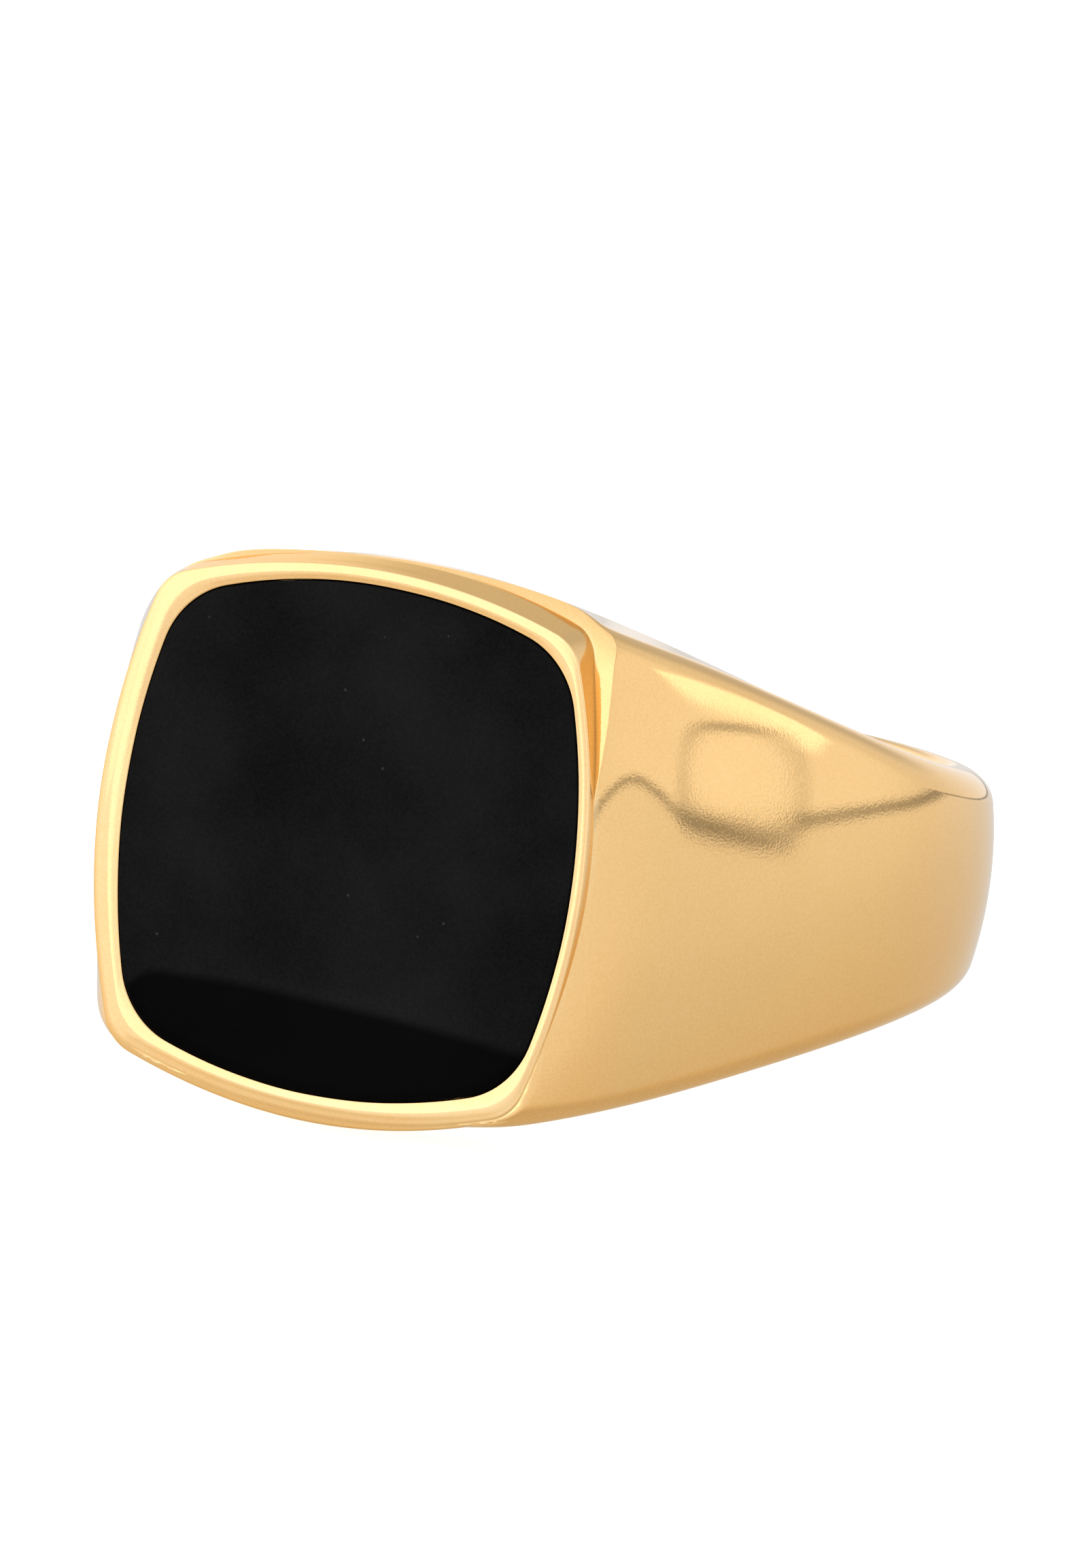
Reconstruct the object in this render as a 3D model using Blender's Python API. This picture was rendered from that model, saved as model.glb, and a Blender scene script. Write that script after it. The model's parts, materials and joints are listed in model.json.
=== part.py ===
"""A cushion signet ring, lying on one side as it rests on a table.

The ring's own frame has X across the face, Y along the finger and Z out of the face, with the
origin on the finger's axis. The empty ring_frame turns that frame onto the table: the face looks
along -Y and a little up, +X stays across it, and the world's origin is under the middle of the
ring, at table height. All dimensions are in millimetres and are scaled by MM when a mesh is made.
"""

import math

import bmesh
import bpy
import numpy as np

MM = 0.001

# Shank
FINGER_RADIUS = 9.6
SHANK_RADIUS = 11.15
SHANK_CENTRE = 0.05
FACE_HEIGHT = 12.0
HEAD_HALF_WIDTH = 7.0
BACK_HALF_WIDTH = 2.7
WIDTH_POWER = 6
SHOULDER_RADIUS = 1.7
SHOULDER_TOP = 12.0
SHOULDER_CENTRE = 5.35
HEAD_CROWN = 1.2
BACK_CROWN = 0.38
HEAD_EDGE_RADIUS = 0.5
BACK_EDGE_RADIUS = 0.8
INNER_EDGE_RADIUS = 0.25

# Head plate
PLATE_HALF = (6.6, 6.66)
PLATE_BOW = (1.05, 0.98)
PLATE_CORNER = 1.1
PLATE_DEPTH = 1.18
PLATE_FLARE = 0.1
RIM_EDGE = 0.12

# Black inlay and the recess it fills
INLAY_HALF = (6.1, 6.24)
INLAY_BOW = (0.9, 1.02)
INLAY_CORNER = 2.15
INLAY_SHIFT = 0.16
INLAY_DEPTH = 0.86
INLAY_EDGE = 0.03
RECESS_DEPTH = 1.0

# Joints between the pieces
JOINT_GAP = 0.04
SHEET_GAP = 0.02
SEAT_DEPTH = 1.3

# Mesh fineness
RING_STEPS = 56
SIDE_STEPS = 6
CORNER_STEPS = 5


def cushion(half, bow, corner, shift=0.0, grow=0.0):
    """Outline of a cushion: four shallow arcs that bow out, joined by round corners, anticlockwise."""
    half_x, half_y = half[0] + grow, half[1] + grow
    radius = corner + grow
    side_radius = ((half_y - bow[1])**2 + bow[0]**2) / (2 * bow[0])
    top_radius = ((half_x - bow[0])**2 + bow[1]**2) / (2 * bow[1])
    side_centre = np.array([half_x - side_radius, 0.0])
    top_centre = np.array([0.0, half_y - top_radius])
    corner_centre = meet(side_centre, side_radius - radius, top_centre, top_radius - radius)
    side_end = angle_of(corner_centre - side_centre)
    top_start = angle_of(corner_centre - top_centre)
    quarter = np.vstack([
        arc(side_centre, side_radius, 0.0, side_end, SIDE_STEPS)[:-1],
        arc(corner_centre, radius, side_end, top_start, CORNER_STEPS)[:-1],
        arc(top_centre, top_radius, top_start, math.pi / 2, SIDE_STEPS),
    ])
    upper = np.vstack([quarter, quarter[-2::-1] * (-1, 1)])
    outline = np.vstack([upper, upper[-2:0:-1] * (1, -1)])
    return outline + (shift, 0.0)


def meet(first, first_radius, second, second_radius):
    """The point in the first quadrant at the given distances from two centres."""
    across = second - first
    distance = np.hypot(*across)
    along = (distance**2 + first_radius**2 - second_radius**2) / (2 * distance)
    rise = math.sqrt(first_radius**2 - along**2)
    unit = across / distance
    base = first + along * unit
    normal = np.array([-unit[1], unit[0]])
    return max(base + rise * normal, base - rise * normal, key=lambda point: point.min())


def angle_of(vector):
    return math.atan2(vector[1], vector[0])


def arc(centre, radius, start, end, steps):
    angles = np.linspace(start, end, steps + 1)
    return centre + radius * np.column_stack([np.cos(angles), np.sin(angles)])


def level(outline, height):
    """The outline lifted to a height, as a loop of 3-D points."""
    return np.column_stack([outline, np.full(len(outline), height)])


def stack(name, loops, material):
    """A closed solid through a stack of equal loops, with a flat cap on the first and the last."""
    mesh = bmesh.new()
    rings = [[mesh.verts.new(point * MM) for point in loop] for loop in loops]
    count = len(rings[0])
    for lower, upper in zip(rings, rings[1:]):
        for i in range(count):
            j = (i + 1) % count
            mesh.faces.new((lower[i], lower[j], upper[j], upper[i]))
    mesh.faces.new(rings[0][::-1])
    mesh.faces.new(rings[-1])
    return finish(name, mesh, material)


def finish(name, mesh, material, sharp_angle=30.0):
    """Turns a bmesh into a smooth-shaded object on the ring's frame."""
    bmesh.ops.recalc_face_normals(mesh, faces=mesh.faces)
    data = bpy.data.meshes.new(name)
    mesh.to_mesh(data)
    mesh.free()
    data.shade_smooth()
    data.set_sharp_from_angle(angle=math.radians(sharp_angle))
    if material:
        data.materials.append(material)
    thing = bpy.data.objects.new(name, data)
    bpy.context.scene.collection.objects.link(thing)
    return thing


def material(name, colour, roughness, metallic):
    shader = bpy.data.materials.new(name)
    shader.use_nodes = True
    principled = shader.node_tree.nodes["Principled BSDF"]
    principled.inputs["Base Color"].default_value = (*colour, 1.0)
    principled.inputs["Roughness"].default_value = roughness
    principled.inputs["Metallic"].default_value = metallic
    shader.diffuse_color = (*colour, 1.0)
    return shader


def shank_outline():
    """Half of the outer outline at mid width, from over the finger to the back, as points and normals.

    It is a flat top, the shoulder's arc, the straight that is tangent to the shoulder and to the
    shank, and the shank's circle.
    """
    shoulder = np.array([SHOULDER_CENTRE, SHOULDER_TOP - SHOULDER_RADIUS])
    shank = np.array([0.0, SHANK_CENTRE])
    across = shoulder - shank
    lean = math.atan2(across[0], across[1])
    turn = lean + math.acos((SHANK_RADIUS - SHOULDER_RADIUS) / np.hypot(*across))
    flat_steps, shoulder_steps, line_steps = 6, 9, 5
    shank_steps = RING_STEPS - flat_steps - shoulder_steps - line_steps
    flat = np.linspace(0.0, SHOULDER_CENTRE, flat_steps + 1)[:-1]
    angles = np.linspace(0.0, turn, shoulder_steps + 1)
    normal = np.column_stack([np.sin(angles), np.cos(angles)])
    curve = shoulder + SHOULDER_RADIUS * normal
    landing = shank + SHANK_RADIUS * normal[-1]
    share = np.linspace(0.0, 1.0, line_steps + 1)[1:, None]
    line = curve[-1] * (1 - share) + landing * share
    back_angles = np.linspace(turn, math.pi, shank_steps + 1)[1:]
    back_normal = np.column_stack([np.sin(back_angles), np.cos(back_angles)])
    points = np.vstack([
        np.column_stack([flat, np.full(flat_steps, SHOULDER_TOP)]),
        curve,
        line,
        shank + SHANK_RADIUS * back_normal,
    ])
    normals = np.vstack([
        np.tile((0.0, 1.0), (flat_steps, 1)),
        normal,
        np.tile(normal[-1], (line_steps, 1)),
        back_normal,
    ])
    return points, normals


def shank_section(point, normal):
    """Closed section of the shank through one point of the outline, as 3-D points.

    The outside is a low dome with round edges, the sides are straight and the inside is the finger
    hole with eased edges.
    """
    angle = math.atan2(point[0], point[1])
    head = math.cos(angle / 2)**WIDTH_POWER
    half = BACK_HALF_WIDTH + (HEAD_HALF_WIDTH - BACK_HALF_WIDTH) * head
    crown = BACK_CROWN + (HEAD_CROWN - BACK_CROWN) * head
    edge = BACK_EDGE_RADIUS + (HEAD_EDGE_RADIUS - BACK_EDGE_RADIUS) * head
    outward = np.array([math.sin(angle), math.cos(angle)])
    dome = np.linspace(0.0, half - edge, 7)
    drop = crown * (dome / half)**2
    turn = np.linspace(0.0, math.pi / 2, 6)[1:]
    dome = np.concatenate([dome, half - edge + edge * np.sin(turn)])
    drop = np.concatenate([drop, crown * (dome[7:] / half)**2 + edge * (1 - np.cos(turn))])
    outer = point - normal * drop[:, None]
    ease = np.linspace(0.0, math.pi / 2, 4)
    inner_across = half - INNER_EDGE_RADIUS * (1 - np.cos(ease))
    inner_radius = FINGER_RADIUS + INNER_EDGE_RADIUS * (1 - np.sin(ease))
    inner_across = np.append(inner_across, inner_across[-1] / 2)
    inner_radius = np.append(inner_radius, FINGER_RADIUS)
    inner = outward * inner_radius[:, None]
    half_loop = np.vstack([
        np.column_stack([outer[:, 0], dome, outer[:, 1]]),
        np.column_stack([inner[:, 0], inner_across, inner[:, 1]]),
    ])
    bottom = np.array([[outward[0] * FINGER_RADIUS, 0.0, outward[1] * FINGER_RADIUS]])
    return np.vstack([half_loop, bottom, half_loop[:0:-1] * (1, -1, 1)])


def build_shank(gold):
    """The band, made by joining its sections round the finger, with the head's seat cut into it."""
    points, normals = shank_outline()
    half = [shank_section(point, normal) for point, normal in zip(points, normals)]
    sections = half + [loop * (-1, 1, 1) for loop in half[-2:0:-1]]
    mesh = bmesh.new()
    rings = [[mesh.verts.new(point * MM) for point in loop] for loop in sections]
    count = len(rings[0])
    for k, ring in enumerate(rings):
        following = rings[(k + 1) % len(rings)]
        for i in range(count):
            j = (i + 1) % count
            mesh.faces.new((ring[i], ring[j], following[j], following[i]))
    shank = finish("shank", mesh, gold)
    cut = shank.modifiers.new("head_seat", "BOOLEAN")
    cut.operation = "DIFFERENCE"
    cut.object = build_seat_cutter()
    return shank


def build_seat_cutter():
    """The space that the head plate and its solder take out of the shank."""
    above = 1.0
    loops = [
        level(plate_outline(SEAT_DEPTH, JOINT_GAP), FACE_HEIGHT - SEAT_DEPTH),
        level(plate_outline(-above, JOINT_GAP), FACE_HEIGHT + above),
    ]
    cutter = stack("seat_cutter", loops, None)
    cutter.hide_render = True
    cutter.display_type = "WIRE"
    return cutter


def plate_outline(depth, grow=0.0):
    """Outline of the head plate at a depth below its face; the wall flares as it goes down."""
    flare = PLATE_FLARE * depth / PLATE_DEPTH
    return cushion(PLATE_HALF, PLATE_BOW, PLATE_CORNER, grow=flare + grow)


def inlay_outline(grow=0.0):
    return cushion(INLAY_HALF, INLAY_BOW, INLAY_CORNER, INLAY_SHIFT, grow)


def build_head_plate(gold):
    """The plate: a tray whose narrow rim stands round the inlay."""
    recess = inlay_outline(JOINT_GAP)
    loops = [
        level(plate_outline(PLATE_DEPTH), FACE_HEIGHT - PLATE_DEPTH),
        level(plate_outline(RIM_EDGE), FACE_HEIGHT - RIM_EDGE),
        level(plate_outline(RIM_EDGE, -RIM_EDGE), FACE_HEIGHT),
        level(recess, FACE_HEIGHT),
        level(recess, FACE_HEIGHT - RECESS_DEPTH),
    ]
    return stack("head_plate", loops, gold)


def build_head_solder(solder):
    """The sheet of solder between the plate and the bottom of its seat."""
    outline = plate_outline(PLATE_DEPTH, -JOINT_GAP)
    bottom = FACE_HEIGHT - SEAT_DEPTH + SHEET_GAP
    top = FACE_HEIGHT - PLATE_DEPTH - SHEET_GAP
    return stack("head_solder", [level(outline, bottom), level(outline, top)], solder)


def build_inlay_cement(cement):
    """The bed of cement between the inlay and the floor of the recess."""
    bottom = FACE_HEIGHT - RECESS_DEPTH + SHEET_GAP
    top = FACE_HEIGHT - INLAY_DEPTH - SHEET_GAP
    outline = inlay_outline(-JOINT_GAP)
    return stack("inlay_cement", [level(outline, bottom), level(outline, top)], cement)


def build_black_inlay(black):
    """The flat black stone, flush with the rim, with its top edge just broken."""
    loops = [
        level(inlay_outline(), FACE_HEIGHT - INLAY_DEPTH),
        level(inlay_outline(), FACE_HEIGHT - INLAY_EDGE),
        level(inlay_outline(-INLAY_EDGE), FACE_HEIGHT),
    ]
    return stack("black_inlay", loops, black)


def rest_on_table(shank):
    """The frame that lays the ring down: head and back touch the table on the same side."""
    points = np.array([vertex.co for vertex in shank.data.vertices])
    head, back = points[points[:, 2] > 0], points[points[:, 2] < 0]
    low, high = 0.0, math.radians(30)
    for _ in range(50):
        tilt = (low + high) / 2
        if lowest(head, tilt) < lowest(back, tilt):
            low = tilt
        else:
            high = tilt
    frame = bpy.data.objects.new("ring_frame", None)
    bpy.context.scene.collection.objects.link(frame)
    frame.rotation_euler.x = math.pi / 2 - tilt
    depth = points[:, 1] * math.sin(tilt) - points[:, 2] * math.cos(tilt)
    face = FACE_HEIGHT * MM
    corner = PLATE_HALF[1] * MM
    front = min(depth.min(), -corner * math.sin(tilt) - face * math.cos(tilt))
    frame.location = (0.0, -(front + depth.max()) / 2, -lowest(points, tilt))
    return frame


def lowest(points, tilt):
    return (points[:, 1] * math.cos(tilt) + points[:, 2] * math.sin(tilt)).min()


def build():
    for thing in list(bpy.data.objects):
        bpy.data.objects.remove(thing)
    gold = material("polished_gold", (0.90, 0.58, 0.22), 0.12, 1.0)
    plate_gold = material("head_gold", (0.91, 0.60, 0.24), 0.12, 1.0)
    solder = material("gold_solder", (0.84, 0.62, 0.32), 0.35, 1.0)
    cement = material("clear_cement", (0.55, 0.47, 0.33), 0.5, 0.0)
    black = material("black_onyx", (0.006, 0.006, 0.006), 0.1, 0.0)
    shank = build_shank(gold)
    pieces = [
        shank,
        shank.modifiers["head_seat"].object,
        build_head_plate(plate_gold),
        build_head_solder(solder),
        build_inlay_cement(cement),
        build_black_inlay(black),
    ]
    frame = rest_on_table(shank)
    for piece in pieces:
        piece.parent = frame


build()
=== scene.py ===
"""A gold signet ring with a black cushion-shaped inlay, in a plain pale studio.

The ring's own frame has X across the face, Y along the finger and Z out of the face, with the
origin on the finger's axis. Shapes are made in that frame, in millimetres, and are then laid on
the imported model. "Upper" and "lower" are along Y, and "height" is along Z.
"""

import json
import math

import bmesh
import bpy
import numpy as np
from mathutils import Matrix, Vector, noise


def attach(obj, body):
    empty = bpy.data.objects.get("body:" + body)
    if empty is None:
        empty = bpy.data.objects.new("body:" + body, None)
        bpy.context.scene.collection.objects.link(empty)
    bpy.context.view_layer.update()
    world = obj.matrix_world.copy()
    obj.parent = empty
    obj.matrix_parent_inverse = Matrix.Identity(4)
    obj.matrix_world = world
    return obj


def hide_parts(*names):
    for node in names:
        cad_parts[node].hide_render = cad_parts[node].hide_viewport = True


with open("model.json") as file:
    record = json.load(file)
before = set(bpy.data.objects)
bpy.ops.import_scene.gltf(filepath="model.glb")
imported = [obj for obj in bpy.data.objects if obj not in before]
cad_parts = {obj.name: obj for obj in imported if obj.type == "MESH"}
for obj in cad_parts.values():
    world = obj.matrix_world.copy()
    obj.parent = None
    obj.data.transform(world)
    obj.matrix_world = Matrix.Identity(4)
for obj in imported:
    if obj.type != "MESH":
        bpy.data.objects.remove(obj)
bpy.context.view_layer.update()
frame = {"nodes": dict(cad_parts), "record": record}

MM = 0.001
QUARTER = math.pi / 2

# Camera: its angles about the middle of the face, its distance, and how far it stands to the side and up
CAMERA_AZIMUTH = math.radians(24.78)
CAMERA_ELEVATION = math.radians(5.49)
CAMERA_ROLL = math.radians(-7.54)
CAMERA_DISTANCE = 426.0
CAMERA_OFFSET = (4.943, 1.36)
CAMERA_LENS = 268.2
SENSOR_HEIGHT = 24.0

# Band: its outline at mid width
FACE_HEIGHT = 12.0
FINGER_RADIUS = 9.6
SHANK_RADIUS = 11.185
SHANK_CENTRE = 0.05
SHOULDER_RADIUS = 0.9
SHOULDER_CENTRE = 5.65
SHOULDER_TOP = 12.55
SHOULDER_EASE = 1.4         # length over which the bends of the outline are eased
HEAD_SHIFT = 0.32           # how far the head sits to the right
STATIONS = ((0.0, 49), (6.0, 109), (9.0, 89), (16.0, 109))  # stretches from the top: start, sections

# Band: its section
HEAD_HALF_WIDTH = 6.87
BACK_HALF_WIDTH = 2.68
WIDTH_POWER = 6.0           # how quickly the band narrows away from the head
CROWN = 0.38                # drop from mid width to the sides, away from the head
HEAD_ROLL = (0.35, 1.45)    # the same drop at the head, on the lower and the upper side
LOWER_TUCK = 0.03           # share of the half width missing on the head's lower side
HEAD_EDGE_RADIUS = 0.55
BACK_EDGE_RADIUS = 0.8
INNER_EDGE_RADIUS = 0.3

# Band: the ledge that its head is cut down to round the plate, and the pocket under the plate
HEAD_TOP = 11.93
LEDGE_HEIGHT = 11.8
LEDGE_SLOPE = 0.02          # fall on the upper side and rise on the lower, by the square of the width
LEDGE_TILT = (0.9, 0.25)    # slope beyond LEDGE_START, to the left and to the right
LEDGE_START = 6.6
LEDGE_FALL = 0.4            # extra fall right at the upper edge
LEDGE_FALL_POWER = 10

# Head plate
PLATE_HALF = (6.53, 6.66)
PLATE_BOW = (1.05, 0.98)
PLATE_CORNER = 1.1
PLATE_SHIFT = 0.07
PLATE_SPREAD = (0.32, 0.32)     # extra reach to the left and to the lower side
PLATE_DEPTH = 1.8
PLATE_FLOOR = 0.3
PLATE_FLARE = (0.03, 0.14)      # slope of the wall, and what it gains on the upper side
FLARE_DEPTH = (0.8, 1.25)       # depth where the wall turns back in, on the other sides and the upper side
SKIRT_DRAW = 0.45               # slope of the wall below that depth
WALL_START = 0.45
RIM_CROWN = 0.035
RIM_LIP = 0.06
RIM_EDGE = (0.045, 0.36, 0.01)  # outer edge radius: crisp part, what the soft part gains, and waver
SOFT_START = (25, 100)          # degrees clockwise from the right where the soft part sets in
SOFT_END = (190, 240)           # and where it ends
POCKET_INSET = 0.3
POCKET_FLOOR = FACE_HEIGHT - PLATE_DEPTH - 0.02

# Inlay
INLAY_HALF = (6.095, 6.243)
INLAY_BOW = (0.904, 1.022)
INLAY_CORNER = 2.165
INLAY_SHIFT = 0.172
INLAY_SINK = 0.03
INLAY_DEPTH = 0.8
INLAY_EDGE = 0.035
INLAY_WAVE = 0.01
RECESS_CLEARANCE = 0.02

# Painted reflection on the stone: the wavy line below which it is painted near black, where the studio's
# reflection ends; place across the face, and place along the finger
STONE_REFLECTION_LINE = ((-7, -5.6), (-5.4, -4.7), (-4.8, -4.1), (-3.6, -3.95), (0, -4.0), (4, -4.25), (7, -4.6))

# Gold: colours, roughness, how far the painted crease shade reaches, and how far wear reaches
BAND_COLOUR = (0.97, 0.64, 0.29)
BAND_ROUGHNESS = 0.045
PLATE_COLOUR = (0.98, 0.68, 0.345)
PLATE_ROUGHNESS = 0.07
PLATE_EDGE_TINT = (1.0, 0.82, 0.55)
# Painted shade: the dark brown that creases are darkened toward
CREASE_SHADE_COLOUR = (0.16, 0.075, 0.02)
RUBBED_COLOUR = (1.0, 0.76, 0.42)
CREASE_REACH = 0.3
WEAR_REACH = 0.12

# Grain of the materials, as texture scales for coordinates in metres
WAVE_SCALE = 260.0
GRAIN_SCALE = 16000.0
STONE_CLOUD_SCALE = 260.0
STONE_GRAIN_SCALE = 14000.0
STONE_SPECK_SCALE = 1300.0
SOLDER_PIT_SCALE = 3000.0
CEMENT_CLOUD_SCALE = 1200.0
PAPER_TOOTH_SCALE = 900.0

# Studio seen in the gold, by direction: azimuth in degrees from -Y toward +X, and elevation.
# SKY pairs azimuth with brightness, GROUND pairs elevation with brightness, and TABLE_EDGE pairs
# azimuth with elevation. A single pair of angles is where something sets in and is complete.
CUT = -100.0
SKY = ((-100, 1.35), (-60, 1.42), (-28, 1.56), (3, 1.22), (25, 1.0), (100, 1.0), (125, 0.98),
       (145, 0.85), (175, 0.9), (205, 1.0), (235, 1.25), (260, 1.35))
OVERHEAD = (35, 65)
OVERHEAD_LOSS = 0.22
BEHIND_FROM = (150, 175)
BEHIND_TO = (240, 215)
BEHIND_FOOT = (4, 16)
BEHIND_LOSS = 0.32
GROUND = ((-90, 0.60), (-60, 0.57), (-40, 0.57), (-25, 0.66), (-15, 0.75), (-5, 0.90),
          (10, 0.95), (90, 0.95))
LEFT_GROUND = (10, -60)
REAR_GROUND = (205, 255)
GROUND_LIFT = 0.28
WARM_GROUND = (-1, -32)
WARM_TINT = (1.14, 1.0, 0.78)
TABLE_EDGE = ((-100, 0), (30, 4), (60, 3), (75, 2.7), (84, 2.1), (91, 0.9), (96, -0.9), (100, -2.9),
              (102.3, -4.8), (103.6, -5.4), (105, -4.3), (107.5, -3.2), (112, -2.9), (120, -3.4),
              (134, -5), (153, -7), (202, -10.6), (235, -2), (260, 0))
EDGE_BLUR = 0.4
EDGE_SHADOW = 0.62
EDGE_WIDTH = 0.42
EDGE_FROM = (35, 60)
EDGE_TO = (206, 196)
PATCH_MIDDLE = (106.3, 1.2)
PATCH_HALF = (2.4, 7.1)
PATCH_LEAN = 0.42
PATCH_POWER = 2.3
PATCH_LIGHT = 1.08
PATCH_BORDER = 0.48
PANEL_FOOT = (113.0, 5.5)
PANEL_SLOPE = 0.85
PANEL_SIDE = 110.3
PANEL_TOP = 25.0
PANEL_LIGHT = 0.5

# Stage, in metres
FLOOR_REACH = 4.0
BACKDROP_RADIUS = 3.5


# ---------------------------------------------------------------- the ring's frame

face = next(mount for mount in frame["record"]["mounts"] if mount["name"] == "signet_face")
outward = Vector(face["axis"]).normalized()
across = Vector((1.0, 0.0, 0.0))
along = outward.cross(across)
finger_axis = Vector(face["pos_m"]) - FACE_HEIGHT * MM * outward
ring_frame = Matrix.Translation(finger_axis) @ Matrix((across, along, outward)).transposed().to_4x4()


def to_world(points):
    """Points in the ring's frame, in millimetres, as world points in metres."""
    turn = np.array(ring_frame.to_3x3())
    return np.asarray(points) * MM @ turn.T + np.array(ring_frame.translation)


# ---------------------------------------------------------------- outlines


def angle_of(vector):
    return math.atan2(vector[1], vector[0])


def arc(centre, radius, start, end, steps):
    angles = np.linspace(start, end, steps + 1)
    return centre + radius * np.column_stack([np.cos(angles), np.sin(angles)])


def meet(first, first_radius, second, second_radius):
    """The point in the first quadrant at the given distances from two centres."""
    gap = second - first
    distance = np.hypot(*gap)
    run = (distance**2 + first_radius**2 - second_radius**2) / (2 * distance)
    rise = math.sqrt(first_radius**2 - run**2)
    unit = gap / distance
    base = first + run * unit
    normal = np.array([-unit[1], unit[0]])
    return max(base + rise * normal, base - rise * normal, key=lambda point: point.min())


def cushion(half, bow, corner, shift, side_steps=44, corner_steps=32):
    """Outline of a cushion: four shallow arcs that bow out, joined by round corners, anticlockwise."""
    side_radius = ((half[1] - bow[1])**2 + bow[0]**2) / (2 * bow[0])
    top_radius = ((half[0] - bow[0])**2 + bow[1]**2) / (2 * bow[1])
    side_centre = np.array([half[0] - side_radius, 0.0])
    top_centre = np.array([0.0, half[1] - top_radius])
    corner_centre = meet(side_centre, side_radius - corner, top_centre, top_radius - corner)
    side_end = angle_of(corner_centre - side_centre)
    top_start = angle_of(corner_centre - top_centre)
    quarter = np.vstack([
        arc(side_centre, side_radius, 0.0, side_end, side_steps)[:-1],
        arc(corner_centre, corner, side_end, top_start, corner_steps)[:-1],
        arc(top_centre, top_radius, top_start, QUARTER, side_steps),
    ])
    upper = np.vstack([quarter, quarter[-2::-1] * (-1, 1)])
    outline = np.vstack([upper, upper[-2:0:-1] * (1, -1)])
    return outline + (shift, 0.0)


def outline_normals(outline):
    """Unit normals of a closed anticlockwise outline, pointing out."""
    step = np.roll(outline, -1, axis=0) - np.roll(outline, 1, axis=0)
    normal = np.column_stack([step[:, 1], -step[:, 0]])
    return normal / np.linalg.norm(normal, axis=1)[:, None]


def around(outline):
    """Angle of each point of an outline about its middle, from the right, anticlockwise."""
    return np.arctan2(outline[:, 1], outline[:, 0])


def wander(angles, seed, scale):
    """Smooth noise along a closed loop of angles, about -1 to 1."""
    return np.array([
        noise.noise((scale * math.cos(angle), scale * math.sin(angle), seed)) for angle in angles
    ]) * 1.6


def at_height(ring, height):
    """A flat loop of points as a loop in space."""
    return np.column_stack([ring, np.full(len(ring), height)])


def swing(values, start, end):
    """0 before start and 1 after end, on half a cosine wave between."""
    return 0.5 - 0.5 * np.cos(np.clip((values - start) / (end - start), 0, 1) * math.pi)


# ---------------------------------------------------------------- meshes


def grid_mesh(name, rings, closed_rings=True, capped=False):
    """A mesh through equal closed loops of points. The row of loops is closed too, or may be capped."""
    rings = np.asarray(rings)
    rows, count = rings.shape[:2]
    index = np.arange(rows * count).reshape(rows, count)
    lower = index if closed_rings else index[:-1]
    upper = np.roll(index, -1, axis=0) if closed_rings else index[1:]
    faces = np.stack([
        lower, np.roll(lower, -1, axis=1), np.roll(upper, -1, axis=1), upper
    ], axis=-1).reshape(-1, 4).tolist()
    if capped:
        faces.append(index[0][::-1].tolist())
        faces.append(index[-1].tolist())
    data = bpy.data.meshes.new(name)
    data.from_pydata(to_world(rings.reshape(-1, 3)).tolist(), [], faces)
    solid = bmesh.new()
    solid.from_mesh(data)
    bmesh.ops.recalc_face_normals(solid, faces=solid.faces)
    solid.to_mesh(data)
    solid.free()
    piece = bpy.data.objects.new(name, data)
    bpy.context.scene.collection.objects.link(piece)
    return piece


def finish_piece(piece, material, sharp_angle=38.0):
    """Smooth shading with sharp edges kept, and the material."""
    piece.data.shade_smooth()
    piece.data.set_sharp_from_angle(angle=math.radians(sharp_angle))
    piece.data.materials.append(material)
    return piece


# ---------------------------------------------------------------- band


def shoulder_line():
    """Half of the outer outline at mid width: a flat top, a round shoulder and the shank's circle."""
    shoulder = np.array([SHOULDER_CENTRE, SHOULDER_TOP - SHOULDER_RADIUS])
    shank = np.array([0.0, SHANK_CENTRE])
    gap = shoulder - shank
    lean = math.acos((SHANK_RADIUS - SHOULDER_RADIUS) / np.hypot(*gap))
    turn = QUARTER - (angle_of(gap) - lean)
    flat = np.linspace(0.0, SHOULDER_CENTRE, 79, endpoint=False)
    top = np.column_stack([flat, np.full(len(flat), SHOULDER_TOP)])
    down = np.linspace(0.0, turn, 60)
    bend = shoulder + SHOULDER_RADIUS * np.column_stack([np.sin(down), np.cos(down)])
    rest = np.linspace(turn, math.pi, 240)
    circle = shank + SHANK_RADIUS * np.column_stack([np.sin(rest), np.cos(rest)])
    return np.vstack([top, bend, circle])


def length_along(line):
    step = np.hypot(*np.diff(line, axis=0).T)
    return np.concatenate([[0.0], np.cumsum(step)])


def soften(line, reach, samples=2400):
    """The line with its bends eased over a length, resampled finely at even steps."""
    length = length_along(line)
    even = np.linspace(0.0, length[-1], samples)
    fine = np.column_stack([np.interp(even, length, line[:, k]) for k in (0, 1)])
    mirrored = np.vstack([fine[1:][::-1] * (-1, 1), fine, fine[:-1][::-1] * (-1, 1)])
    spacing = even[1]
    width = int(4 * reach / spacing)
    kernel = np.exp(-0.5 * (np.arange(-width, width + 1) * spacing / reach)**2)
    kernel /= kernel.sum()
    eased = np.column_stack([np.convolve(mirrored[:, k], kernel, mode="same") for k in (0, 1)])
    return eased[samples - 1:2 * samples - 1]


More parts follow.
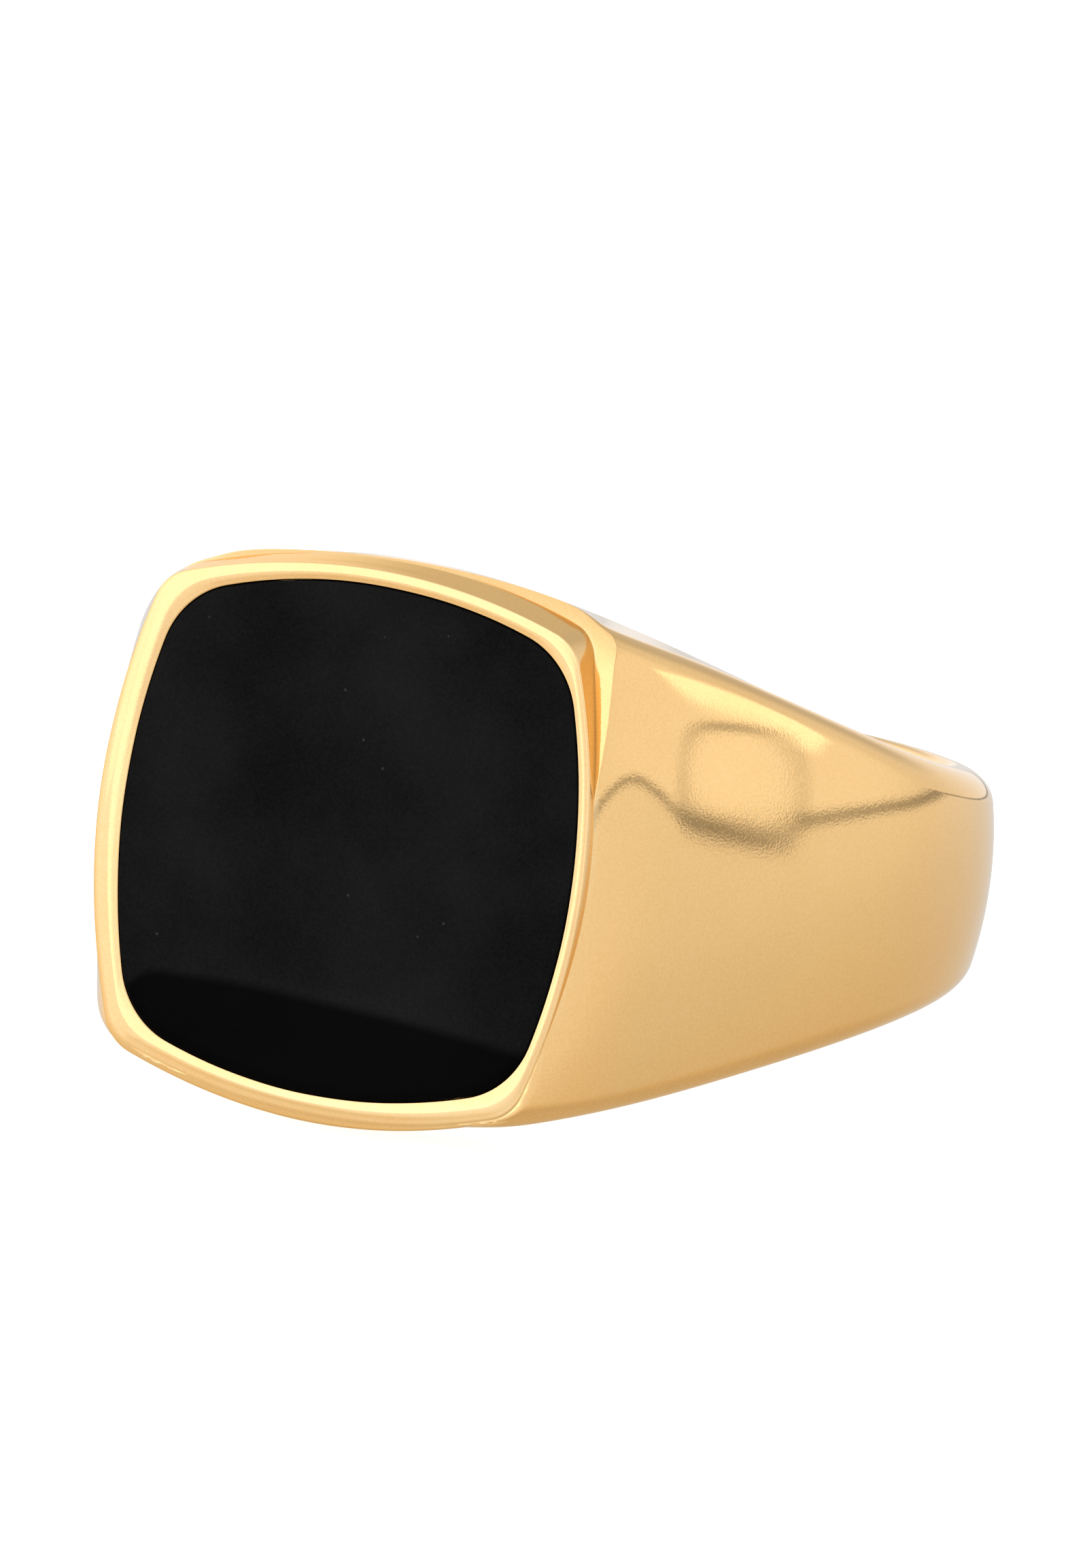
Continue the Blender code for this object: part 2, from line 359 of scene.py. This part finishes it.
def band_stations():
    """Points and normals of the band's outline all the way round, closest at the shoulders."""
    line = soften(shoulder_line(), SHOULDER_EASE)
    length = length_along(line)
    ends = [start for start, sections in STATIONS[1:]] + [length[-1]]
    marks = [
        np.linspace(start, end, sections, endpoint=False)
        for (start, sections), end in zip(STATIONS, ends)
    ]
    marks = np.concatenate(marks + [[length[-1]]])
    point = np.column_stack([np.interp(marks, length, line[:, k]) for k in (0, 1)])
    tangent = np.column_stack([
        np.interp(marks, length, np.gradient(line[:, k], length)) for k in (0, 1)
    ])
    normal = np.column_stack([-tangent[:, 1], tangent[:, 0]])
    normal /= np.linalg.norm(normal, axis=1)[:, None]
    normal[0] = (0.0, 1.0)
    normal[-1] = (0.0, -1.0)
    point = np.vstack([point, point[-2:0:-1] * (-1, 1)])
    normal = np.vstack([normal, normal[-2:0:-1] * (-1, 1)])
    return point, normal


def ledge_height(sideways, width, half):
    """Height that the head is cut down to, so that the plate stands out of a sloping ledge."""
    tilt = np.where(sideways < 0, *LEDGE_TILT) * np.clip(np.abs(sideways) - LEDGE_START, 0.0, None)
    fall = LEDGE_FALL * np.clip(width / half, 0.0, 1.0)**LEDGE_FALL_POWER
    ledge = LEDGE_HEIGHT - LEDGE_SLOPE * np.abs(width) * width - tilt - fall
    return np.minimum(HEAD_TOP, ledge)


def outside_line(point, normal, head, half):
    """Outside of one section, from its lower edge to its upper edge."""
    edge = BACK_EDGE_RADIUS + (HEAD_EDGE_RADIUS - BACK_EDGE_RADIUS) * head
    turn = np.linspace(0.0, QUARTER, 15)[1:]
    flat = np.linspace(0.0, half - edge, 62)
    side = np.concatenate([flat, half - edge + edge * np.sin(turn)])
    rounding = np.concatenate([np.zeros(len(flat)), edge * (1 - np.cos(turn))])
    width = np.concatenate([-side[:0:-1] * (1 - LOWER_TUCK * head), side])
    rounding = np.concatenate([rounding[:0:-1], rounding])
    top = head**3
    crown = CROWN * (width / half)**2
    roll = np.where(width < 0, *HEAD_ROLL) * (width / half)**4
    drop = crown * (1 - top) + roll * top + rounding
    outer = point - normal * drop[:, None]
    outer[:, 0] += HEAD_SHIFT * head
    if point[1] > 0:
        outer[:, 1] = np.minimum(outer[:, 1], ledge_height(outer[:, 0], width, half))
    return np.column_stack([outer[:, 0], width, outer[:, 1]])


def bore_line(angle, half):
    """Inside of one section, from its upper edge to its lower edge."""
    ease = np.linspace(0.0, QUARTER, 9)
    rounded_side = half - INNER_EDGE_RADIUS * (1 - np.cos(ease))
    rounded_radius = FINGER_RADIUS + INNER_EDGE_RADIUS * (1 - np.sin(ease))
    straight = np.linspace(rounded_side[-1], 0.0, 16)[1:]
    side = np.concatenate([rounded_side, straight])
    radius = np.concatenate([rounded_radius, np.full(len(straight), FINGER_RADIUS)])
    upper = np.column_stack([math.sin(angle) * radius, side, math.cos(angle) * radius])
    return np.vstack([upper, upper[-2::-1] * (1, -1, 1)])


def band_section(point, normal):
    """Closed section of the band through one point of its outline, as points in space."""
    angle = math.atan2(point[0], point[1])
    head = math.cos(angle / 2)**WIDTH_POWER
    half = BACK_HALF_WIDTH + (HEAD_HALF_WIDTH - BACK_HALF_WIDTH) * head
    return np.vstack([outside_line(point, normal, head, half), bore_line(angle, half)])


def sink_pocket(points):
    """Lowers the head's top to a flat pocket floor under the plate."""
    seat = plate_outline()
    seat = (seat - outline_normals(seat) * POCKET_INSET)[::6]
    side = np.roll(seat, -1, axis=0) - seat
    high = np.nonzero(points[:, 2] > POCKET_FLOOR)[0]
    gap = points[high, None, :2] - seat
    within = (side[:, 0] * gap[..., 1] - side[:, 1] * gap[..., 0] > 0.0).all(axis=1)
    points[high[within], 2] = POCKET_FLOOR


def build_band(gold):
    point, normal = band_stations()
    sections = np.array([band_section(p, n) for p, n in zip(point, normal)])
    sink_pocket(sections.reshape(-1, 3))
    return finish_piece(grid_mesh("polished_band", sections), gold)


# ---------------------------------------------------------------- head plate


def plate_outline():
    return cushion(PLATE_HALF, PLATE_BOW, PLATE_CORNER, PLATE_SHIFT)


def rim_edge(outer):
    """Radius of the rim's outer edge at each point: crisp right and top, soft left and bottom."""
    angle = around(outer)
    clockwise = np.degrees(-angle) % 360
    soft = swing(clockwise, *SOFT_START) * (1 - swing(clockwise, *SOFT_END))
    crisp, gain, waver = RIM_EDGE
    return (crisp + gain * soft + waver * wander(angle, 3.0, 2.5))[:, None]


def recess_loops(inner, inward):
    """From the recess's floor up its wall and round its lip."""
    lip_foot = FACE_HEIGHT - RIM_CROWN - RIM_LIP
    loops = [at_height(inner, FACE_HEIGHT - PLATE_DEPTH + PLATE_FLOOR), at_height(inner, lip_foot)]
    for turn in np.linspace(0.0, QUARTER, 7)[1:]:
        ring = inner + inward * RIM_LIP * (1 - math.cos(turn))
        loops.append(at_height(ring, lip_foot + RIM_LIP * math.sin(turn)))
    return loops


def rim_loops(start, end, outer, out, edge):
    """Across the crowned rim and round its outer edge."""
    loops = []
    for share in np.linspace(0.0, 1.0, 9)[1:-1]:
        height = FACE_HEIGHT - RIM_CROWN * (2 * share - 1)**2
        loops.append(at_height(start * (1 - share) + end * share, height))
    for turn in np.linspace(0.0, QUARTER, 9):
        ring = outer - out * edge * (1 - math.sin(turn))
        loops.append(at_height(ring, FACE_HEIGHT - RIM_CROWN - edge[:, 0] * (1 - math.cos(turn))))
    return loops


def wall_loops(outer, out, top):
    """Down the outer wall, which flares and then draws in where the band hides it."""
    upper = np.clip(out[:, 1:], 0.0, 1.0)
    flare = PLATE_FLARE[0] + PLATE_FLARE[1] * upper
    turn_in = FLARE_DEPTH[0] + (FLARE_DEPTH[1] - FLARE_DEPTH[0]) * upper
    loops = []
    for depth in np.linspace(WALL_START, PLATE_DEPTH, 12):
        spread = flare * np.minimum(depth, turn_in) - SKIRT_DRAW * np.clip(depth - turn_in, 0.0, None)
        loops.append(at_height(outer + out * spread, np.minimum(FACE_HEIGHT - depth, top - 0.01)))
    return loops


def build_plate(gold):
    """The tray set in the band: a low crowned rim round the inlay, and a flared wall."""
    outer = plate_outline()
    outer -= PLATE_SPREAD * np.clip(-outer / PLATE_HALF, 0.0, 1.0)**2
    out = outline_normals(outer)
    inner = inlay_outline(RECESS_CLEARANCE)
    inward = outline_normals(inner)
    edge = rim_edge(outer)
    recess = recess_loops(inner, inward)
    rim = rim_loops(inner + inward * RIM_LIP, outer - out * edge, outer, out, edge)
    wall = wall_loops(outer, out, rim[-1][:, 2])
    loops = recess + rim + wall
    piece = grid_mesh("polished_head_plate", loops[::-1], closed_rings=False, capped=True)
    return finish_piece(piece, gold, sharp_angle=50.0)


# ---------------------------------------------------------------- inlay


def inlay_outline(grow):
    outline = cushion(INLAY_HALF, INLAY_BOW, INLAY_CORNER, INLAY_SHIFT)
    wave = INLAY_WAVE * wander(around(outline), 7.0, 3.0)
    return outline + outline_normals(outline) * (grow + wave)[:, None]


def build_inlay(black):
    """The black stone, with a broken edge and a flat polished top."""
    outline = inlay_outline(0.0)
    normal = outline_normals(outline)
    top = FACE_HEIGHT - INLAY_SINK
    loops = [at_height(outline, top - INLAY_DEPTH)]
    for turn in np.linspace(0.0, QUARTER, 5):
        ring = outline - normal * INLAY_EDGE * (1 - math.cos(turn))
        loops.append(at_height(ring, top - INLAY_EDGE * (1 - math.sin(turn))))
    middle = np.array([INLAY_SHIFT, 0.0])
    rim = outline - normal * INLAY_EDGE
    for share in np.linspace(0.0, 0.97, 24)[1:]:
        loops.append(at_height(rim * (1 - share) + middle * share, top))
    piece = grid_mesh("polished_inlay", loops, closed_rings=False, capped=True)
    return finish_piece(piece, black)


# ---------------------------------------------------------------- node shorthand


class Sums:
    """Shorthand for making and joining nodes in one node tree."""

    def __init__(self, tree):
        self.nodes = tree.nodes
        self.links = tree.links

    def put(self, value, socket):
        if isinstance(value, bpy.types.NodeSocket):
            self.links.new(value, socket)
        else:
            socket.default_value = value

    def do(self, operation, *values):
        node = self.nodes.new("ShaderNodeMath")
        node.operation = operation
        for value, socket in zip(values, node.inputs):
            self.put(value, socket)
        return node.outputs[0]

    def add(self, first, second):
        return self.do("ADD", first, second)

    def less(self, first, second):
        return self.do("SUBTRACT", first, second)

    def times(self, product, *others):
        for other in others:
            product = self.do("MULTIPLY", product, other)
        return product

    def fade(self, share, first, second):
        """A number that goes from first to second as share goes from 0 to 1."""
        return self.add(first, self.times(share, self.less(second, first)))

    def spread(self, value, low, high, start=0.0, end=1.0):
        """Maps start to low and end to high in a straight line, and holds beyond them."""
        node = self.nodes.new("ShaderNodeMapRange")
        self.put(value, node.inputs["Value"])
        self.put(start, node.inputs["From Min"])
        self.put(end, node.inputs["From Max"])
        self.put(low, node.inputs["To Min"])
        self.put(high, node.inputs["To Max"])
        return node.outputs["Result"]

    def step(self, value, start, end):
        """0 at start and 1 at end, eased between; start may be above end."""
        rising = start < end
        result = self.spread(
            value, 0.0 if rising else 1.0, 1.0 if rising else 0.0, min(start, end), max(start, end)
        )
        result.node.interpolation_type = "SMOOTHSTEP"
        return result

    def curve(self, value, points, top):
        """A smooth curve through (input, output) points; outputs lie between -top and top."""
        start, end = points[0][0], points[-1][0]
        node = self.nodes.new("ShaderNodeFloatCurve")
        self.put(self.do("DIVIDE", self.less(value, start), end - start), node.inputs["Value"])
        line = node.mapping.curves[0]
        for index, (place, height) in enumerate(points):
            spot = ((place - start) / (end - start), 0.5 + 0.5 * height / top)
            if index < 2:
                line.points[index].location = spot
            else:
                line.points.new(*spot)
        node.mapping.update()
        return self.times(self.less(node.outputs["Value"], 0.5), 2.0 * top)

    def blend(self, share, first, second):
        """A colour that goes from first to second as share goes from 0 to 1."""
        node = self.nodes.new("ShaderNodeMix")
        node.data_type = "RGBA"
        self.put(share, node.inputs["Factor"])
        for name, value in (("A", first), ("B", second)):
            self.put(value if isinstance(value, bpy.types.NodeSocket) else (*value, 1.0), node.inputs[name])
        return node.outputs["Result"]

    def split(self, vector):
        node = self.nodes.new("ShaderNodeSeparateXYZ")
        self.links.new(vector, node.inputs[0])
        return node.outputs

    def noise(self, place, scale, detail=2.0):
        node = self.nodes.new("ShaderNodeTexNoise")
        node.inputs["Scale"].default_value = scale
        node.inputs["Detail"].default_value = detail
        self.links.new(place, node.inputs["Vector"])
        return node.outputs["Fac"]

    def openness(self, reach, inside=False):
        """1 in the open, lower in creases; with inside, lower on ridges instead. The reach is in mm."""
        node = self.nodes.new("ShaderNodeAmbientOcclusion")
        node.samples = 6
        node.inside = inside
        node.inputs["Distance"].default_value = reach * MM
        return node.outputs["AO"]

    def bump(self, height, strength, depth, under=None):
        """A bumped normal, on top of another where one is given. The depth is in mm."""
        node = self.nodes.new("ShaderNodeBump")
        node.inputs["Strength"].default_value = strength
        node.inputs["Distance"].default_value = depth * MM
        self.links.new(height, node.inputs["Height"])
        if under:
            self.links.new(under, node.inputs["Normal"])
        return node.outputs["Normal"]


def new_material(name):
    """A material, the shorthand for its nodes, its shader's inputs and the object's coordinates."""
    material = bpy.data.materials.new(name)
    material.use_nodes = True
    sums = Sums(material.node_tree)
    place = sums.nodes.new("ShaderNodeTexCoord").outputs["Object"]
    return material, sums, sums.nodes["Principled BSDF"].inputs, place


# ---------------------------------------------------------------- materials


def gold_material(name, colour, roughness, edge_tint=(1.0, 1.0, 1.0)):
    """Polished gold: fine sandy grain, faint polishing waves, rubbed edges, and painted shade that darkens
    the creases.
    """
    material, sums, surface, place = new_material(name)
    surface["Metallic"].default_value = 1.0
    surface["Specular Tint"].default_value = (*edge_tint, 1.0)
    waves = sums.noise(place, WAVE_SCALE)
    grain = sums.noise(place, GRAIN_SCALE, 3.0)

    broad_mottle = sums.times(sums.step(waves, 0.3, 0.7), 0.25)
    fine_mottle = sums.times(sums.step(grain, 0.35, 0.65), 0.5)
    dull = (colour[0] * 0.92, colour[1] * 0.88, colour[2] * 0.78)
    tone = sums.blend(sums.add(broad_mottle, fine_mottle), colour, dull)
    # Painted shade: ambient occlusion darkens creases and the plate's foot toward dark brown, and roughens
    # them a little
    crease_shade = sums.times(sums.step(sums.openness(CREASE_REACH), 0.72, 0.4), 0.75)
    ridge = sums.step(sums.openness(WEAR_REACH, inside=True), 0.85, 0.4)
    wear = sums.times(ridge, sums.step(waves, 0.3, 0.6))
    rubbed = sums.blend(sums.times(wear, 0.5), tone, RUBBED_COLOUR)
    sums.put(sums.blend(crease_shade, rubbed, CREASE_SHADE_COLOUR), surface["Base Color"])

    polish = sums.spread(grain, roughness * 0.8, roughness * 1.25, 0.3, 0.7)
    worn = sums.add(polish, sums.times(wear, 0.05))
    sums.put(sums.add(worn, sums.times(crease_shade, 0.3)), surface["Roughness"])
    wavy = sums.bump(waves, 0.25, 0.02)
    sums.put(sums.bump(grain, 0.35, 0.002, under=wavy), surface["Normal"])
    return material


def stone_material():
    """Black onyx: faint grey clouds and tiny pale specks, with a painted reflection: near black below a
    wavy line along the lower edge, where the studio's reflection ends.
    """
    material, sums, surface, place = new_material("black_stone")
    surface["Specular IOR Level"].default_value = 0.02
    turned = sums.nodes.new("ShaderNodeMapping")
    turned.vector_type = "TEXTURE"
    turned.inputs["Location"].default_value = ring_frame.translation
    turned.inputs["Rotation"].default_value = ring_frame.to_euler()
    sums.put(place, turned.inputs["Vector"])
    x, y = sums.split(turned.outputs["Vector"])[:2]
    # Painted reflection: above this wavy line the clouds, grain and specks keep their grey; below it they
    # drop to 12 per cent, near black
    reflection_line = sums.curve(sums.do("DIVIDE", x, MM), STONE_REFLECTION_LINE, 8.0)
    above = sums.step(sums.less(sums.do("DIVIDE", y, MM), reflection_line), -0.15, 0.2)

    clouds = sums.noise(place, STONE_CLOUD_SCALE, 5.0)
    grain = sums.noise(place, STONE_GRAIN_SCALE)
    cloudy = sums.times(sums.step(clouds, 0.25, 0.75), 0.005)
    mixed = sums.add(cloudy, sums.times(grain, 0.006))
    painted_reflection_grey = sums.times(mixed, sums.add(0.12, sums.times(above, 0.88)))
    specks = sums.nodes.new("ShaderNodeTexVoronoi")
    specks.inputs["Scale"].default_value = STONE_SPECK_SCALE
    sums.put(place, specks.inputs["Vector"])
    speck = sums.step(specks.outputs["Distance"], 0.055, 0.03)
    grey = sums.add(painted_reflection_grey, sums.times(speck, above, 0.02))
    sums.put(sums.blend(grey, (0.0, 0.0, 0.0), (1.0, 1.0, 1.03)), surface["Base Color"])

    sums.put(sums.spread(clouds, 0.1, 0.22), surface["Roughness"])
    sums.put(sums.bump(grain, 0.15, 0.002), surface["Normal"])
    return material


def solder_material():
    """Dull gold solder with a pitted skin."""
    material, sums, surface, place = new_material("solder")
    surface["Metallic"].default_value = 1.0
    pits = sums.noise(place, SOLDER_PIT_SCALE, 4.0)
    share = sums.step(pits, 0.35, 0.65)
    sums.put(sums.blend(share, (0.62, 0.43, 0.2), (0.86, 0.63, 0.33)), surface["Base Color"])
    sums.put(sums.add(0.3, sums.times(share, 0.2)), surface["Roughness"])
    sums.put(sums.bump(pits, 0.4, 0.01), surface["Normal"])
    return material


def cement_material():
    """Jeweller's cement, slightly amber, with cloudy patches."""
    material, sums, surface, place = new_material("cement")
    cloud = sums.noise(place, CEMENT_CLOUD_SCALE, 3.0)
    share = sums.step(cloud, 0.3, 0.7)
    sums.put(sums.blend(share, (0.55, 0.48, 0.36), (0.72, 0.67, 0.55)), surface["Base Color"])
    sums.put(sums.add(0.15, sums.times(share, 0.15)), surface["Roughness"])
    sums.put(sums.bump(cloud, 0.2, 0.01), surface["Normal"])
    return material


def floor_material():
    """Pale seamless paper with a faint tooth, bright enough to read as white."""
    material, sums, surface, place = new_material("pale_floor")
    surface["Roughness"].default_value = 0.8
    surface["Specular IOR Level"].default_value = 0.1
    surface["Emission Color"].default_value = (1.0, 1.0, 1.0, 1.0)
    surface["Emission Strength"].default_value = 0.8
    tooth = sums.noise(place, PAPER_TOOTH_SCALE)
    sums.put(sums.spread(tooth, 0.90, 0.94), surface["Base Color"])
    return material


def backdrop_material():
    """An even white glow."""
    material = bpy.data.materials.new("white_backdrop")
    material.use_nodes = True
    nodes = material.node_tree.nodes
    glow = nodes.new("ShaderNodeEmission")
    glow.inputs["Strength"].default_value = 1.1
    material.node_tree.links.new(glow.outputs["Emission"], nodes["Material Output"].inputs["Surface"])
    return material


# ---------------------------------------------------------------- stage


def build_floor():
    """A plain floor, left out of reflections: the gold sees the studio's own ground instead."""
    data = bpy.data.meshes.new("floor")
    corners = [(-1, -1), (1, -1), (1, 1), (-1, 1)]
    data.from_pydata([(x * FLOOR_REACH, y * FLOOR_REACH, 0.0) for x, y in corners], [], [(0, 1, 2, 3)])
    data.materials.append(floor_material())
    floor = bpy.data.objects.new("floor", data)
    floor.visible_glossy = False
    bpy.context.scene.collection.objects.link(floor)


def build_backdrop():
    """A white dome behind everything, which only the camera sees."""
    dome = bmesh.new()
    bmesh.ops.create_icosphere(dome, subdivisions=3, radius=BACKDROP_RADIUS)
    data = bpy.data.meshes.new("backdrop")
    dome.to_mesh(data)
    dome.free()
    data.materials.append(backdrop_material())
    backdrop = bpy.data.objects.new("backdrop", data)
    for ray in ("diffuse", "glossy", "transmission", "volume_scatter", "shadow"):
        setattr(backdrop, f"visible_{ray}", False)
    bpy.context.scene.collection.objects.link(backdrop)


# ---------------------------------------------------------------- studio


def sky_light(sums, azimuth, elevation):
    """Bright walls, darker overhead and behind the ring."""
    overhead = sums.times(sums.step(elevation, *OVERHEAD), OVERHEAD_LOSS)
    behind = sums.times(
        sums.step(azimuth, *BEHIND_FROM), sums.step(azimuth, *BEHIND_TO),
        sums.step(elevation, *BEHIND_FOOT), BEHIND_LOSS,
    )
    kept = sums.less(1.0, sums.do("MAXIMUM", overhead, behind))
    return sums.times(sums.curve(azimuth, SKY, 2.0), kept)


def ground_light(sums, azimuth, elevation):
    """The floor and the table, lighter to the left and at the rear."""
    lift = sums.do("MAXIMUM", sums.step(azimuth, *LEFT_GROUND), sums.step(azimuth, *REAR_GROUND))
    gain = sums.add(1.0, sums.times(lift, GROUND_LIFT))
    return sums.times(sums.curve(elevation, GROUND, 1.0), gain)


def patch_distance(sums, azimuth, elevation):
    """Distance from the middle of the rounded pale patch: 1 on its outline."""
    rise = sums.less(elevation, PATCH_MIDDLE[1])
    aside = sums.less(sums.less(azimuth, PATCH_MIDDLE[0]), sums.times(rise, PATCH_LEAN))
    powers = [
        sums.do("POWER", sums.do("ABSOLUTE", sums.do("DIVIDE", way, half)), PATCH_POWER)
        for way, half in zip((aside, rise), PATCH_HALF)
    ]
    return sums.do("POWER", sums.add(*powers), 1.0 / PATCH_POWER)


def edge_line(sums, azimuth, above):
    """The dark line along the table's far edge, seen only to the right."""
    line = sums.step(sums.do("ABSOLUTE", above), EDGE_WIDTH * 2, EDGE_WIDTH * 0.4)
    return sums.times(line, EDGE_SHADOW, sums.step(azimuth, *EDGE_FROM), sums.step(azimuth, *EDGE_TO))


def panel_light(sums, azimuth, elevation):
    """A lit panel whose lower edge slopes up to the right."""
    slope = sums.times(sums.less(azimuth, PANEL_FOOT[0]), PANEL_SLOPE)
    over = sums.less(sums.less(elevation, PANEL_FOOT[1]), slope)
    return sums.times(
        sums.step(over, -1.0, 1.0),
        sums.step(azimuth, PANEL_SIDE - 1, PANEL_SIDE + 1),
        sums.step(elevation, PANEL_TOP + 3, PANEL_TOP - 3),
        sums.step(elevation, PANEL_FOOT[1] - 2, PANEL_FOOT[1]),
        PANEL_LIGHT,
    )


def build_world():
    """The studio by direction: bright walls, a warm ground, the table's far edge and two lit areas."""
    world = bpy.data.worlds.new("studio")
    world.use_nodes = True
    sums = Sums(world.node_tree)
    x, y, z = sums.split(sums.nodes.new("ShaderNodeTexCoord").outputs["Generated"])
    turn = sums.do("DEGREES", sums.do("ARCTAN2", x, sums.times(y, -1.0)))
    azimuth = sums.add(sums.do("FLOORED_MODULO", sums.less(turn, CUT), 360.0), CUT)
    elevation = sums.do("DEGREES", sums.do("ARCSINE", z))

    above = sums.less(elevation, sums.curve(azimuth, TABLE_EDGE, 20.0))
    ground = ground_light(sums, azimuth, elevation)
    sky = sky_light(sums, azimuth, elevation)
    room = sums.fade(sums.step(above, -EDGE_BLUR, EDGE_BLUR), ground, sky)

    patch = patch_distance(sums, azimuth, elevation)
    inside = sums.step(patch, 0.98, 0.8)
    border = sums.times(sums.step(patch, 0.72, 0.88), sums.step(patch, 1.12, 0.96), PATCH_BORDER)
    line = sums.times(edge_line(sums, azimuth, above), sums.less(1.0, inside))
    lit = sums.times(sums.fade(inside, room, PATCH_LIGHT), sums.less(1.0, border), sums.less(1.0, line))
    strength = sums.add(lit, panel_light(sums, azimuth, elevation))

    tint = sums.blend(sums.step(above, *WARM_GROUND), (1.0, 1.0, 1.0), WARM_TINT)
    background = sums.nodes["Background"].inputs
    sums.put(tint, background["Color"])
    sums.put(strength, background["Strength"])
    bpy.context.scene.world = world


# ---------------------------------------------------------------- camera


def build_camera():
    """The camera, from its angles about the middle of the face in the ring's frame."""
    az, el, roll = CAMERA_AZIMUTH, CAMERA_ELEVATION, CAMERA_ROLL
    back = np.array([math.sin(az) * math.cos(el), math.sin(el), math.cos(az) * math.cos(el)])
    level = np.array([math.cos(az), 0.0, -math.sin(az)])
    upright = np.cross(back, level)
    right = math.cos(roll) * level - math.sin(roll) * upright
    up = math.sin(roll) * level + math.cos(roll) * upright
    middle = np.array([0.0, 0.0, FACE_HEIGHT])
    place = middle + CAMERA_OFFSET[0] * right + CAMERA_OFFSET[1] * up + CAMERA_DISTANCE * back
    turn = ring_frame.to_3x3() @ Matrix(np.column_stack([right, up, back]).tolist())
    data = bpy.data.cameras.new("camera")
    data.sensor_fit = "VERTICAL"
    data.sensor_height = SENSOR_HEIGHT
    data.lens = CAMERA_LENS
    data.clip_start = 0.01
    camera = bpy.data.objects.new("camera", data)
    camera.matrix_world = Matrix.Translation(Vector(to_world(place))) @ turn.to_4x4()
    bpy.context.scene.collection.objects.link(camera)
    bpy.context.scene.camera = camera


# ---------------------------------------------------------------- assembly

build_camera()
build_floor()
build_backdrop()
build_world()
bpy.context.scene.view_settings.view_transform = "Standard"

band = build_band(gold_material("band_gold", BAND_COLOUR, BAND_ROUGHNESS))
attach(band, "root")
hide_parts("shank")

plate = build_plate(gold_material("plate_gold", PLATE_COLOUR, PLATE_ROUGHNESS, PLATE_EDGE_TINT))
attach(plate, "root")
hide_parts("head_plate")

inlay = build_inlay(stone_material())
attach(inlay, "root")
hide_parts("black_inlay")

for node, material in (("head_solder", solder_material()), ("inlay_cement", cement_material())):
    for slot in frame["nodes"][node].material_slots:
        slot.material = material
